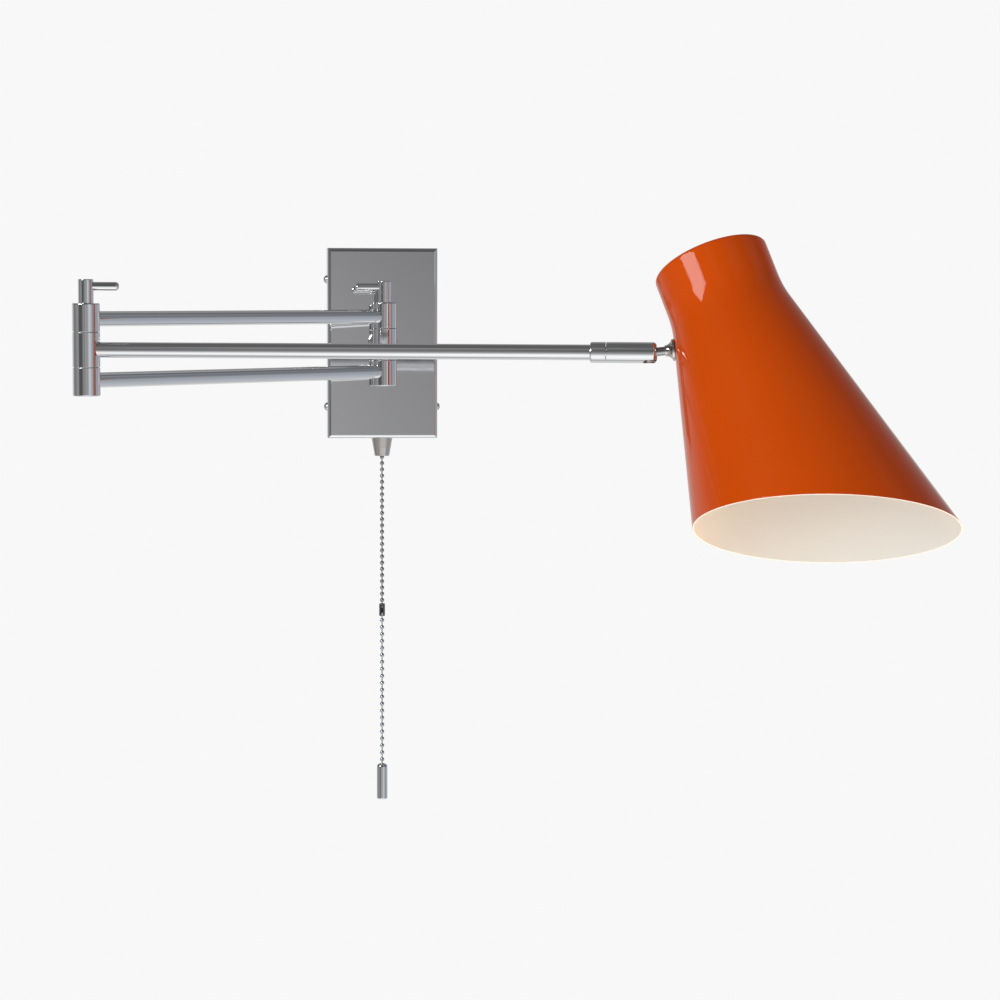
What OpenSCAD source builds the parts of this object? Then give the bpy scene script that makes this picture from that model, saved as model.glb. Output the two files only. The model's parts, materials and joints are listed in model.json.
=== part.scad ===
// Swivel wall light: a folded metal wall cover, a two-part swing arm with clamped posts,
// a slotted ball joint, an obliquely cut spun shade and a ball-chain pull switch.
// Millimetres. The origin is the centre of the wall cover on the wall plane, +Z is up,
// +X is to the right and the light stands out of the wall towards -Y.

/* [Wall cover] */
// Width of the wall cover
cover_w = 81; // [76:1:110]
// Height of the wall cover
cover_h = 140; // [134:1:180]
// Depth of the wall cover, from the wall to its face
cover_d = 25; // [25:1:40]
// Thickness of the cover's sheet
cover_t = 1.2; // [0.8:0.1:1.6]
// Outside radius of the cover's folds
fold_r = 2.6; // [1.6:0.1:3]
// Width of the relief slit at each folded corner
corner_slit = 0.4; // [0.2:0.1:0.8]

/* [Wall bracket] */
// Thickness of the bracket's sheet
bracket_t = 1.5; // [1.2:0.1:2.5]
// Depth of the bracket's side flanges, from the wall
bracket_d = 18; // [16:0.5:20]
// Gap between the bracket and the cover around it
bracket_gap = 0.3; // [0.2:0.1:0.8]
// Distance between the two wall slots
slot_spacing = 60; // [50:1:64]
// Width of a wall slot
slot_w = 5; // [4:0.5:6]
// Length of a wall slot, end to end
slot_len = 10; // [8:1:14]
// Height of a side screw above or below the middle
side_screw_z = 47; // [40:1:54]
// Distance of the side screws from the wall
side_screw_y = 12.5; // [9:0.5:14]
// Thread diameter of the side screws
side_screw_d = 3; // [2.5:0.5:4]
// Length of a side screw's shank
side_screw_len = 6; // [4.5:0.5:9]
// Diameter of a side screw's domed head
side_head_d = 6.4; // [5:0.1:7]
// Height of a side screw's domed head
side_head_h = 2.6; // [1.6:0.1:2.7]
// Bore of the cable grommet
grommet_bore = 9; // [6:0.5:11]
// Diameter of the hole that holds the grommet
grommet_d = 14; // [13.5:0.5:18]

/* [Wall electrics] */
// Number of poles on the terminal block
pole_count = 3; // [2:1:4]
// Distance from pole to pole
pole_pitch = 9; // [8.5:0.5:9]
// Distance from the bracket's upper end down to the terminal block's middle
terminal_drop = 15.5; // [14.5:0.5:17.5]
// Width of the pull switch's case
switch_w = 22; // [16:1:28]
// Depth of the pull switch's case
switch_depth = 17; // [14:0.5:18]
// Height of the pull switch's case
switch_h = 29; // [27.5:0.5:29]
// Distance of the pull chain from the wall
pull_y = 12.5; // [12:0.5:13]

/* [Posts] */
// Distance from the cover's face to the wall post's axis
post_gap = 25; // [20:1:40]
// Diameter of both posts
post_d = 18; // [16:0.5:22]
// Height of a centre knuckle
centre_knuckle_h = 22.6; // [18:0.2:26]
// Height of an end knuckle
end_knuckle_h = 18.5; // [17:0.5:24]
// Thickness of a friction washer
washer_t = 0.4; // [0.3:0.1:1]
// Diameter of a friction washer
washer_d = 16; // [13:0.5:16]
// Diameter of a post's spindle
spindle_d = 8; // [6:0.5:8]
// Running clearance around a spindle, on the radius
spindle_fit = 0.05; // [0.03:0.01:0.1]
// Edge radius of the posts' outer ends
post_edge_r = 0.8; // [0.3:0.1:1.5]

/* [Clamp levers] */
// Diameter of a clamp cap
cap_d = 10; // [9:0.5:13]
// Height of a clamp cap
cap_h = 15.6; // [15:0.2:22]
// Diameter of the threaded end that holds a clamp cap
cap_thread_d = 5; // [4:0.5:5]
// Length of the threaded end that holds a clamp cap
cap_thread_len = 6.5; // [5:0.5:6.5]
// Diameter of a clamp lever
lever_d = 5.6; // [4:0.2:6]
// Length of a clamp lever beyond its cap
lever_len = 16.4; // [10:0.2:26]
// Distance of a clamp lever's axis below its cap's top
lever_drop = 4.6; // [4:0.1:5]
// Direction of the wall post's lever, from +X
wall_lever_dir = 186; // [150:1:210]
// Direction of the elbow post's lever, from +X
elbow_lever_dir = 3; // [-30:1:30]

/* [Arms] */
// Length of the double arm, post axis to post axis
first_arm_len = 280; // [200:5:360]
// Height between the double arm's two tubes
arm_spacing = 40; // [38:1:42]
// Length of the outer arm, from the elbow's axis to the ball
outer_arm_len = 366; // [300:1:450]
// Diameter of the arm tubes
tube_d = 10; // [8:0.5:12]
// Wall of the arm tubes
tube_t = 1; // [0.8:0.1:1.5]
// Angle of the double arm out of the wall, from the left
first_arm_angle = 43.3; // [20:0.1:90]
// Direction of the outer arm, from +X
outer_arm_dir = -11.8; // [-60:0.1:0]

/* [Ball joint] */
// Diameter of the collar and the ball socket
socket_d = 13.4; // [12.6:0.2:18]
// Length of the collar
collar_len = 10; // [9:0.5:16]
// Length of the ball socket outside the collar
socket_len = 32; // [26:0.5:45]
// Distance from the ball's centre to the socket's mouth
mouth_reach = 5.4; // [4.5:0.1:7]
// Width of the line between the collar and the socket
collar_gap = 0.4; // [0.3:0.1:0.8]
// Diameter of the ball
ball_d = 9; // [8:0.2:9.4]
// Diameter of the ball's stem
stem_d = 5.6; // [4:0.2:5.6]
// Bore of the ball's stem, for the wires
stem_bore = 3; // [2:0.2:3.4]
// Distance from the ball's centre to the shade's wall
stem_reach = 16.7; // [15:0.1:24]
// Clearance of the stem in the socket's slot, on each side
slot_gap = 0.4; // [0.3:0.1:0.8]
// Tilt of the stem above the outer arm's axis
stem_tilt = 6.75; // [0:0.25:8]
// Roll of the ball socket towards the viewer
socket_roll = 20.9; // [0:0.1:45]
// Diameter of the cone washer's rim
cone_washer_d = 14; // [11:0.5:18]
// Length of the cone washer
cone_washer_h = 6; // [4:0.5:7.5]

/* [Shade] */
// Diameter of the shade's closed top
shade_top_d = 75; // [66:1:90]
// Length of the straight neck under the top
neck_len = 24; // [10:1:30]
// Radius of the curve between neck and cone
flare_r = 75; // [40:5:90]
// Angle of the cone to the shade's axis
cone_angle = 14.25; // [10:0.25:18]
// Length of the shade along its axis
shade_len = 190; // [185:1:230]
// Angle of the shade's oblique mouth
mouth_angle = 20.5; // [0:0.5:24]
// Thickness of the shade's wall
shade_t = 1; // [0.8:0.1:1.5]
// Edge radius of the shade's top
top_edge_r = 2; // [1.6:0.1:4]
// Distance along the axis from the top to the stem
grip_drop = 48; // [45:0.5:70]

/* [Lamp] */
// Thickness of the lampholder's bracket
holder_bracket_t = 1.5; // [1:0.1:2]
// Width of the lampholder's bracket
holder_bracket_w = 16; // [12:1:20]
// Distance along the axis from the top to the lampholder's bracket
holder_drop = 24; // [18:0.5:27]
// Diameter of the lampholder's skirt
holder_d = 38; // [36:1:42]
// Height of the lampholder
holder_h = 48; // [44:1:54]
// Diameter of the bulb's cap
bulb_cap_d = 26; // [24:0.5:27]
// Diameter of the bulb's globe
bulb_d = 60; // [45:1:60]
// Length of the bulb's glass
bulb_glass_len = 80; // [72:1:82]
// Thickness of the bulb's glass
glass_t = 0.8; // [0.6:0.1:1.2]

/* [Pull chain] */
// Diameter of a bead
bead_d = 3.2; // [2.4:0.1:3.2]
// Distance from bead to bead in the upper chain
bead_pitch = 4.65; // [4.3:0.05:5]
// Distance from bead to bead in the lower chain
tail_pitch = 5.25; // [4.3:0.05:5.6]
// Diameter of the wire between two beads
link_d = 0.9; // [0.7:0.1:1]
// Number of beads above the coupling
upper_beads = 24; // [10:1:40]
// Number of beads below the coupling's own two, down to the one in the bob
lower_beads = 22; // [10:1:40]
// Diameter of the nozzle at the cover
nozzle_d = 15.5; // [15:0.5:18]
// Diameter of the nozzle at its mouth
nozzle_mouth_d = 11; // [7:0.5:12]
// Height of the nozzle with its tip
nozzle_h = 13.5; // [10:0.5:20]
// Travel of the pull chain
pull_travel = 8; // [4:0.5:8]
// Diameter of the coupling
coupling_d = 4.4; // [4.3:0.1:7]
// Distance between the two beads in the coupling
coupling_span = 5.3; // [5:0.1:9]
// Diameter of the bob
bob_d = 8; // [6:0.5:14]
// Length of the bob
bob_h = 26.5; // [16:0.5:40]
// Radius of the bob's rounded top
bob_top_r = 2.4; // [1:0.1:2.4]

/* [Hidden] */
$fn = 96;

chrome = [0.80, 0.81, 0.83];
zinc = [0.66, 0.68, 0.70];
satin = [0.62, 0.60, 0.58];
orange = [0.80, 0.29, 0.06];
white_plastic = [0.93, 0.93, 0.90];
black_plastic = [0.12, 0.12, 0.13];

// A tool that cuts through a face runs this far past it
over = 1;
// Clearance around a seated or threaded piece, on the radius
seat_fit = 0.05;
// Clearance between parts that turn freely past each other
free_gap = 0.3;

// Wall mount
cover_in_w = cover_w - 2 * cover_t;
cover_in_h = cover_h - 2 * cover_t;
face_in_y = -(cover_d - cover_t);
bracket_w = cover_in_w - 2 * bracket_gap;
bracket_h = cover_in_h - 2 * bracket_gap;
// The side screws: side, then upper or lower
side_screw_places = [[-1, 1], [-1, -1], [1, -1]];
grommet_lip = 1.5;
stiffener_t = 3;
stiffener_w = 56;
stiffener_h = 36;
stub_d = 12;
stub_thread_d = 10;
rosette_d = 22;
rosette_t = 3;
nut_across = 17;
nut_t = 5;
stub_thread_end = face_in_y + stiffener_t + nut_t + 2;
terminal_z = bracket_h / 2 - terminal_drop;
terminal_h = 18;
terminal_base_t = 5;
terminal_barrel_d = 8;
terminal_wire_d = 3.4;
terminal_well_d = 3.6;

// Posts
post_r = post_d / 2;
post_h = centre_knuckle_h + 2 * washer_t + 2 * end_knuckle_h;
end_knuckle_z = centre_knuckle_h / 2 + washer_t;
// Depth at which a tube or a stub ends inside a knuckle, from the post's axis
tube_seat_r = spindle_d / 2 + 1.6;
spindle_foot_t = 3;
spindle_foot_d = spindle_d + 3.6;
lever_seat_r = 1.5;

// Ball joint
socket_r = socket_d / 2;
ball_r = ball_d / 2;
stem_r = stem_d / 2;
seat_r = ball_r + seat_fit;
socket_end_r = 2.4;
socket_start_x = mouth_reach - socket_len;
collar_start_x = socket_start_x - collar_gap - collar_len;
collar_seat_len = collar_len / 2;
spigot_d = 7.6;
mouth_r = ball_r - 0.05;
mouth_throat_r = ball_r - 0.6;
mouth_throat_x = sqrt(seat_r * seat_r - mouth_throat_r * mouth_throat_r);
seat_len = 8;
// Bore for the wires through the ball joint
wire_bore_d = 4;
nut_face = 9;
stem_nut_h = 4.5;

// Shade
top_r = shade_top_d / 2;
flare_x = top_r + flare_r;
cone_start_s = neck_len + flare_r * sin(cone_angle);
cone_start_r = flare_x - flare_r * cos(cone_angle);
// Outside radius of the shade at the stem, which lies on the cone
grip_r = cone_start_r + (grip_drop - cone_start_s) * tan(cone_angle);
// Longest side of the oblique shade, with room for the cut
blank_len = shade_len * 1.4;
// How far a flat strip stands off the round inside of the wall
strip_rise = holder_bracket_w * holder_bracket_w / 8 / (grip_r - shade_t) + 0.1;
strip_x = shade_t + strip_rise;
stem_end_x = strip_x + holder_bracket_t + stem_nut_h + 1.5;
grip_strip_down = 8;
// Length of the strip along the wall, up to the bracket's bend
grip_strip_up = (grip_drop - holder_drop) / cos(cone_angle);
nipple_d = 10;
nipple_len = 8;
holder_nut_t = 4;
holder_top_s = holder_drop + holder_bracket_t;
holder_cap_h = 16;
holder_cap_d = holder_d - 4;
holder_mouth_s = holder_top_s + holder_h;
bulb_cap_len = 25;
// Taper of the bulb's cap to its contact
bulb_contact_d = 10;
bulb_taper_h = 4;
bulb_taper_step = 4;
bulb_neck_r = bulb_cap_d / 2 + 1;
bulb_neck_h = 4;
// Where the neck's side runs into the globe: how far inside its surface, and at what latitude
bulb_join_depth = 0.4;
bulb_join_angle = 28;

// Pull chain
bead_r = bead_d / 2;
chain_bore = bead_d + 1.4;
switch_neck_d = 9;
switch_neck_len = 6;
switch_bottom_z = -cover_in_h / 2;
nozzle_mouth_z = -cover_h / 2 - nozzle_h;
// Floor of the nozzle, under the switch's neck, and the tip that is let into it
nozzle_floor_t = 1.2;
nozzle_tip_h = nozzle_h - switch_neck_len - free_gap - nozzle_floor_t;
nozzle_tip_d = nozzle_mouth_d + (nozzle_d - nozzle_mouth_d) * nozzle_tip_h / nozzle_h;
tip_spigot_d = 8;
// Bell mouth of the tip, inside a flat ring
mouth_ring_w = 1.5;
bell_d = max(chain_bore, nozzle_mouth_d - 2 * mouth_ring_w);
bell_h = 2;
// Place of the bead in the nozzle's mouth, where the chain swings
mouth_bead_drop = 1.1;
chain_z = nozzle_mouth_z - mouth_bead_drop;
lead_beads = 6;
plunger_d = 6;
plunger_h = 8;
plunger_z = chain_z + lead_beads * bead_pitch;
bead_fit = 0.05;
// Thickness of the lips that hold an end bead, and the radius of their opening
lip_t = 0.4;
lip_r = bead_r - 0.1;
bead_chamber_r = bead_r + bead_fit + 0.1;
// Distance from an end bead's centre to the outside of the lip that holds it
bead_cover = bead_r + bead_fit + lip_t;
coupling_top_z = chain_z - upper_beads * bead_pitch + bead_cover;
coupling_h = coupling_span + 2 * bead_cover;
// Open seam along the coupling's front
coupling_seam_w = link_d + 0.5;
tail_z = chain_z - upper_beads * bead_pitch - coupling_span;
bob_top_z = tail_z - lower_beads * tail_pitch + bead_cover;
bob_foot_r = 0.8;

// Frame of the wall post: the post's axis at the arm's middle height
module at_wall_post() translate([0, -cover_d - post_gap, 0]) children();

// Frame of the double arm: +X runs from the wall post to the elbow
module at_first_arm() at_wall_post() rotate([0, 0, 180 + first_arm_angle]) children();

// Frame of the elbow post, turned with the double arm
module at_elbow() at_first_arm() translate([first_arm_len, 0, 0]) children();

// Frame of the outer arm: +X runs from the elbow to the ball
module at_outer_arm()
  at_elbow() rotate([0, 0, outer_arm_dir - 180 - first_arm_angle]) children();

// Frame of the ball's centre: +X along the outer arm, -Z the way the slot faces
module at_ball()
  at_outer_arm() translate([outer_arm_len, 0, 0]) rotate([-socket_roll, 0, 0]) children();

// Frame of the stem: +X from the ball's centre to the shade's wall
module at_stem() at_ball() rotate([0, -stem_tilt, 0]) children();

// Frame of the grip: the point where the stem meets the shade's outside
module at_grip() at_stem() translate([stem_reach, 0, 0]) children();

// Frame of the shade: the middle of its top, with its axis along -Z
module at_shade() at_grip() rotate([0, -cone_angle, 0]) translate([grip_r, 0, grip_drop]) children();

// Frame of the pull chain's axis, at the bead in the nozzle's mouth
module at_chain(z = chain_z) translate([0, -pull_y, z]) children();

// A quarter of a ring's corner, to be cut off a square edge
module corner_cut(r)
  difference() {
    square([r + over, r + over]);
    circle(r = r);
  }

// Half the outline of a turned bar, from its axis outwards, with rounded ends
module bar_outline(r, h, top_r = 0, foot_r = 0)
  difference() {
    square([r, h]);
    if (top_r > 0) translate([r - top_r, h - top_r]) corner_cut(top_r);
    if (foot_r > 0) translate([r - foot_r, foot_r]) mirror([0, 1]) corner_cut(foot_r);
  }

// A turned bar along +Z
module bar(r, h, top_r = 0, foot_r = 0) rotate_extrude() bar_outline(r, h, top_r, foot_r);

// The children turned from +Z to lie along +X
module along_x() rotate([0, 90, 0]) children();

// The children turned from +Z to lie along -Y
module along_front() rotate([90, 0, 0]) children();

// A tube along +X between two places
module tube_x(from, to, d, t)
  translate([from, 0, 0])
    along_x()
      difference() {
        cylinder(d = d, h = to - from);
        translate([0, 0, -over]) cylinder(d = d - 2 * t, h = to - from + 2 * over);
      }

// A hexagon nut along +Z with its bore
module hex_nut(across, h, bore)
  difference() {
    cylinder(d = across / cos(30), h = h, $fn = 6);
    translate([0, 0, -over]) cylinder(d = bore, h = h + 2 * over);
  }

// Outline of the folded sheet across one pair of folds, open at the wall
module fold_outline(w, d, r)
  difference() {
    translate([-w / 2, 0]) square([w, d]);
    for (side = [-1, 1])
      translate([side * (w / 2 - r), d - r])
        on_side(side) corner_cut(r);
  }

// A flat outline mirrored to the left for -1 and left as it is for 1
module on_side(side)
  if (side < 0) mirror([1, 0]) children();
  else children();

// The solid that a folded cover fills, from the wall plane towards -Y
module folded_block(w, h, d, r)
  intersection() {
    translate([0, 0, -h / 2]) linear_extrude(h) mirror([0, 1]) fold_outline(w, d, r);
    translate([-w / 2, 0, 0])
      rotate([90, 0, 90]) linear_extrude(w) rotate(90) fold_outline(h, d, r);
  }

// Pieces of the wall mount

module wall_cover()
  color(chrome)
    difference() {
      folded_block(cover_w, cover_h, cover_d, fold_r);
      translate([0, over, 0])
        folded_block(cover_in_w, cover_in_h, cover_d - cover_t + over, fold_r - cover_t);
      // Hole for the arm's stub
      translate([0, over - cover_d + cover_t, 0])
        along_front() cylinder(d = stub_thread_d + 2 * seat_fit, h = cover_t + 2 * over);
      // Hole for the switch's neck
      translate([0, -pull_y, -cover_h / 2 - over])
        cylinder(d = switch_neck_d + 2 * seat_fit, h = cover_t + 2 * over);
      // Holes for the side screws
      for (place = side_screw_places)
        translate([place[0] * (cover_w / 2 - cover_t / 2), -side_screw_y, place[1] * side_screw_z])
          along_x() cylinder(d = side_screw_d + 2 * seat_fit, h = 2 * cover_t, center = true);
      // Relief slits where two folds meet at a corner
      for (side = [-1, 1], end = [-1, 1])
        translate([side * cover_in_w / 2, -cover_d / 2 + fold_r, end * cover_in_h / 2])
          rotate([0, side * end * 45, 0])
            cube([4 * cover_t, cover_d, corner_slit], center = true);
    }

module wall_bracket()
  color(zinc)
    difference() {
      translate([0, 0, -bracket_h / 2])
        linear_extrude(bracket_h)
          mirror([0, 1])
            difference() {
              translate([-bracket_w / 2, 0]) square([bracket_w, bracket_d]);
              translate([-bracket_w / 2 + bracket_t, bracket_t])
                square([bracket_w - 2 * bracket_t, bracket_d]);
            }
      // Slots for the wall screws
      for (z = [-slot_spacing / 2, slot_spacing / 2])
        translate([0, over, z]) {
          for (end = [-1, 1])
            translate([0, 0, end * (slot_len - slot_w) / 2])
              along_front() cylinder(d = slot_w, h = bracket_t + 2 * over);
          translate([-slot_w / 2, -bracket_t - 2 * over, -(slot_len - slot_w) / 2])
            cube([slot_w, bracket_t + 2 * over, slot_len - slot_w]);
        }
      // Hole for the cable grommet
      translate([0, over, 0]) along_front() cylinder(d = grommet_d, h = bracket_t + 2 * over);
      // Threaded holes for the side screws
      for (place = side_screw_places)
        translate([place[0] * (bracket_w / 2 - bracket_t / 2), -side_screw_y, place[1] * side_screw_z])
          along_x() cylinder(d = side_screw_d + 2 * seat_fit, h = 2 * bracket_t, center = true);
    }

module side_screws()
  color(chrome)
    for (place = side_screw_places)
      translate([place[0] * cover_w / 2, -side_screw_y, place[1] * side_screw_z])
        rotate([0, place[0] * 90, 0]) {
          // Domed head, a slice of a ball
          dome_r = (side_head_d * side_head_d / 4 + side_head_h * side_head_h) / 2 / side_head_h;
          intersection() {
            translate([0, 0, side_head_h - dome_r]) sphere(r = dome_r);
            cylinder(d = side_head_d + over, h = side_head_h + over);
          }
          translate([0, 0, -side_screw_len]) cylinder(d = side_screw_d, h = side_screw_len);
        }

module cable_grommet()
  color(black_plastic)
    along_front()
      difference() {
        union() {
          cylinder(d = grommet_d - 2 * seat_fit, h = bracket_t + grommet_lip);
          translate([0, 0, bracket_t]) cylinder(d = grommet_d + 4, h = grommet_lip);
        }
        translate([0, 0, -over]) cylinder(d = grommet_bore, h = bracket_t + grommet_lip + 2 * over);
      }

module terminal_block() {
  block_w = pole_count * pole_pitch;
  color(white_plastic)
    translate([0, -bracket_t, terminal_z])
      difference() {
        union() {
          translate([-block_w / 2, -terminal_base_t, -terminal_h / 2])
            cube([block_w, terminal_base_t, terminal_h]);
          for (i = [0:pole_count - 1])
            translate([(i - (pole_count - 1) / 2) * pole_pitch, -terminal_base_t, -terminal_h / 2])
              cylinder(d = terminal_barrel_d, h = terminal_h);
        }
        for (i = [0:pole_count - 1])
          translate([(i - (pole_count - 1) / 2) * pole_pitch, -terminal_base_t, 0]) {
            // Way for the wire
            translate([0, 0, -terminal_h / 2 - over]) cylinder(d = terminal_wire_d, h = terminal_h + 2 * over);
            // Wells of the clamping screws
            for (end = [-1, 1])
              translate([0, 0, end * terminal_h / 4])
                along_front() cylinder(d = terminal_well_d, h = terminal_barrel_d);
          }
      }
}

module stiffener()
  color(zinc)
    translate([0, face_in_y + stiffener_t, 0])
      difference() {
        translate([-stiffener_w / 2, -stiffener_t, -stiffener_h / 2])
          cube([stiffener_w, stiffener_t, stiffener_h]);
        translate([0, over, 0])
          along_front() cylinder(d = stub_thread_d + 2 * seat_fit, h = stiffener_t + 2 * over);
      }

module stub_nut()
  color(zinc)
    translate([0, face_in_y + stiffener_t + nut_t, 0])
      along_front() hex_nut(nut_across, nut_t, stub_thread_d + 2 * seat_fit);

module stub_rosette()
  color(chrome)
    translate([0, -cover_d, 0])
      along_front()
        difference() {
          bar(rosette_d / 2, rosette_t, top_r = 1.2);
          translate([0, 0, -over])
            cylinder(d = stub_thread_d + 2 * seat_fit, h = rosette_t + 2 * over);
        }

module arm_stub()
  color(chrome) {
    shoulder_y = -cover_d - rosette_t;
    seat_y = -cover_d - post_gap + tube_seat_r;
    // Thread through rosette, cover, stiffener and nut
    translate([0, stub_thread_end, 0])
      along_front() cylinder(d = stub_thread_d, h = stub_thread_end - shoulder_y);
    // Round stub, seated in the centre knuckle
    translate([0, shoulder_y, 0]) along_front() cylinder(d = stub_d, h = shoulder_y - seat_y);
  }

// Pieces of a post

// Bore for a spindle through a piece of height h
module spindle_bore(h)
  translate([0, 0, -over]) cylinder(d = spindle_d + 2 * spindle_fit, h = h + 2 * over);

// A seat for a tube of diameter d that meets the post at height z, along +X
module tube_seat(d, z)
  translate([tube_seat_r, 0, z]) along_x() cylinder(d = d + 2 * seat_fit, h = post_r);

module centre_knuckle(seat_d)
  difference() {
    translate([0, 0, -centre_knuckle_h / 2]) bar(post_r, centre_knuckle_h, 0.2, 0.2);
    translate([0, 0, -centre_knuckle_h / 2]) spindle_bore(centre_knuckle_h);
    tube_seat(seat_d, 0);
  }

// Upper end knuckle, with its seat towards +X
module upper_knuckle()
  difference() {
    translate([0, 0, end_knuckle_z]) bar(post_r, end_knuckle_h, post_edge_r, 0.2);
    translate([0, 0, end_knuckle_z]) spindle_bore(end_knuckle_h);
    tube_seat(tube_d, arm_spacing / 2);
  }

// Lower end knuckle: the spindle's foot is let into its underside
module lower_knuckle()
  difference() {
    translate([0, 0, -end_knuckle_z - end_knuckle_h]) bar(post_r, end_knuckle_h, 0.2, post_edge_r);
    translate([0, 0, -end_knuckle_z - end_knuckle_h]) spindle_bore(end_knuckle_h);
    translate([0, 0, -post_h / 2 - over])
      cylinder(d = spindle_foot_d + 2 * seat_fit, h = spindle_foot_t + over);
    tube_seat(tube_d, -arm_spacing / 2);
  }

module spindle() {
  translate([0, 0, -post_h / 2]) {
    cylinder(d = spindle_foot_d, h = spindle_foot_t);
    cylinder(d = spindle_d, h = post_h);
    cylinder(d = cap_thread_d, h = post_h + cap_thread_len);
  }
}

module wall_centre_knuckle() color(chrome) at_wall_post() rotate(90) centre_knuckle(stub_d);

module elbow_centre_knuckle() color(chrome) at_outer_arm() centre_knuckle(tube_d);

module wall_upper_knuckle() color(chrome) at_first_arm() upper_knuckle();

module wall_lower_knuckle() color(chrome) at_first_arm() lower_knuckle();

module elbow_upper_knuckle() color(chrome) at_elbow() rotate(180) upper_knuckle();

module elbow_lower_knuckle() color(chrome) at_elbow() rotate(180) lower_knuckle();

module wall_spindle() color(zinc) at_first_arm() spindle();

module elbow_spindle() color(zinc) at_elbow() spindle();

// Friction washers, one on each side of both centre knuckles
module arm_washers()
  color(white_plastic)
    at_first_arm()
      for (x = [0, first_arm_len], z = [-end_knuckle_z, end_knuckle_z - washer_t])
        translate([x, 0, z])
          difference() {
            cylinder(d = washer_d, h = washer_t);
            spindle_bore(washer_t);
          }

// Clamp cap on the spindle's threaded end, with a seat for its lever towards +X
module clamp_cap()
  translate([0, 0, post_h / 2])
    difference() {
      bar(cap_d / 2, cap_h, 0.6, 0.2);
      translate([0, 0, -over])
        cylinder(d = cap_thread_d + 2 * spindle_fit, h = cap_thread_len + 0.5 + over);
      translate([lever_seat_r, 0, cap_h - lever_drop])
        along_x() cylinder(d = lever_d + 2 * seat_fit, h = cap_d);
    }

module clamp_lever()
  translate([lever_seat_r, 0, post_h / 2 + cap_h - lever_drop])
    along_x() bar(lever_d / 2, cap_d / 2 - lever_seat_r + lever_len, top_r = lever_d * 0.4);

module wall_clamp_cap() color(chrome) at_wall_post() rotate(wall_lever_dir) clamp_cap();

module wall_clamp_lever() color(chrome) at_wall_post() rotate(wall_lever_dir) clamp_lever();

// The children at the elbow post, turned to a direction given from +X
module at_elbow_to(dir) at_elbow() rotate(dir - 180 - first_arm_angle) children();

module elbow_clamp_cap() color(chrome) at_elbow_to(elbow_lever_dir) clamp_cap();

module elbow_clamp_lever() color(chrome) at_elbow_to(elbow_lever_dir) clamp_lever();

// Arm tubes

module double_arm_tube(z)
  at_first_arm()
    translate([0, 0, z]) tube_x(tube_seat_r, first_arm_len - tube_seat_r, tube_d, tube_t);

module upper_arm_tube() color(chrome) double_arm_tube(arm_spacing / 2);

module lower_arm_tube() color(chrome) double_arm_tube(-arm_spacing / 2);

module outer_arm_tube()
  color(chrome)
    at_outer_arm()
      tube_x(tube_seat_r, outer_arm_len + collar_start_x + collar_seat_len, tube_d, tube_t);

// Ball joint

module socket_collar()
  color(chrome)
    at_outer_arm()
      translate([outer_arm_len + collar_start_x, 0, 0])
        along_x()
          difference() {
            bar(socket_r, collar_len, 0.2, 1);
            // Seat for the tube, then the bearing of the socket's spigot
            translate([0, 0, -over])
              cylinder(d = tube_d + 2 * seat_fit, h = collar_seat_len + over);
            cylinder(d = spigot_d + 2 * spindle_fit, h = collar_len + over);
          }

module ball_socket()
  color(chrome)
    at_ball()
      difference() {
        translate([socket_start_x, 0, 0])
          along_x() {
            bar(socket_r, socket_len, socket_end_r, 0.2);
            // Spigot that turns in the collar
            translate([0, 0, -collar_gap - collar_seat_len + free_gap])
              cylinder(d = spigot_d, h = collar_gap + collar_seat_len);
          }
        // Way for the wires
        translate([socket_start_x - collar_len, 0, 0])
          along_x() cylinder(d = wire_bore_d, h = socket_len);
        // Barrel behind the ball, the ball's seat and the mouth in front of it
        translate([-seat_len - ball_r, 0, 0]) along_x() cylinder(r = seat_r, h = seat_len + ball_r);
        sphere(r = seat_r);
        translate([mouth_throat_x - 0.4, 0, 0])
          along_x() cylinder(r1 = mouth_throat_r, r2 = mouth_r + 0.1, h = mouth_reach - mouth_throat_x + 0.5);
        // Slot that lets the stem drop, with a round end
        translate([0, 0, -socket_d]) cylinder(r = stem_r + slot_gap, h = socket_d);
        translate([0, -stem_r - slot_gap, -socket_d])
          cube([mouth_reach + over, stem_d + 2 * slot_gap, socket_d]);
      }

module ball_seat()
  color(white_plastic)
    at_ball()
      difference() {
        translate([-seat_len - ball_r, 0, 0]) along_x() cylinder(r = ball_r, h = seat_len + ball_r * 0.4);
        sphere(r = seat_r);
        translate([-seat_len - ball_r - over, 0, 0]) along_x() cylinder(d = wire_bore_d, h = seat_len + ball_r);
      }

module ball_stem()
  color(chrome)
    at_stem()
      difference() {
        union() {
          sphere(r = ball_r);
          along_x() cylinder(d = stem_d, h = stem_reach + stem_end_x);
        }
        translate([-ball_d, 0, 0])
          along_x() cylinder(d = stem_bore, h = ball_d + stem_reach + stem_end_x + over);
      }

// Flared washer between the stem and the shade: a hollow curve from the stem to a rim
module cone_washer() {
  rim_t = 1.4;
  neck_r = stem_r + 0.7;
  rim_r = cone_washer_d / 2;
  curve_h = cone_washer_h - rim_t;
  // Radius of the hollow curve that leaves the neck along the stem and ends at the rim
  reach = rim_r - neck_r;
  curve_r = (reach * reach + curve_h * curve_h) / 2 / reach;
  color(chrome)
    at_grip()
      translate([-cone_washer_h, 0, 0])
        along_x()
          rotate_extrude()
            difference() {
              square([rim_r, cone_washer_h]);
              intersection() {
                translate([neck_r + curve_r, 0]) circle(r = curve_r, $fn = 180);
                square([rim_r + over, curve_h]);
              }
              square([stem_r + spindle_fit, cone_washer_h]);
            }
}

module stem_nut()
  color(zinc)
    at_grip()
      translate([strip_x + holder_bracket_t, 0, 0])
        along_x() hex_nut(nut_face, stem_nut_h, stem_d + 2 * spindle_fit);

// Shade and lamp

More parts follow.
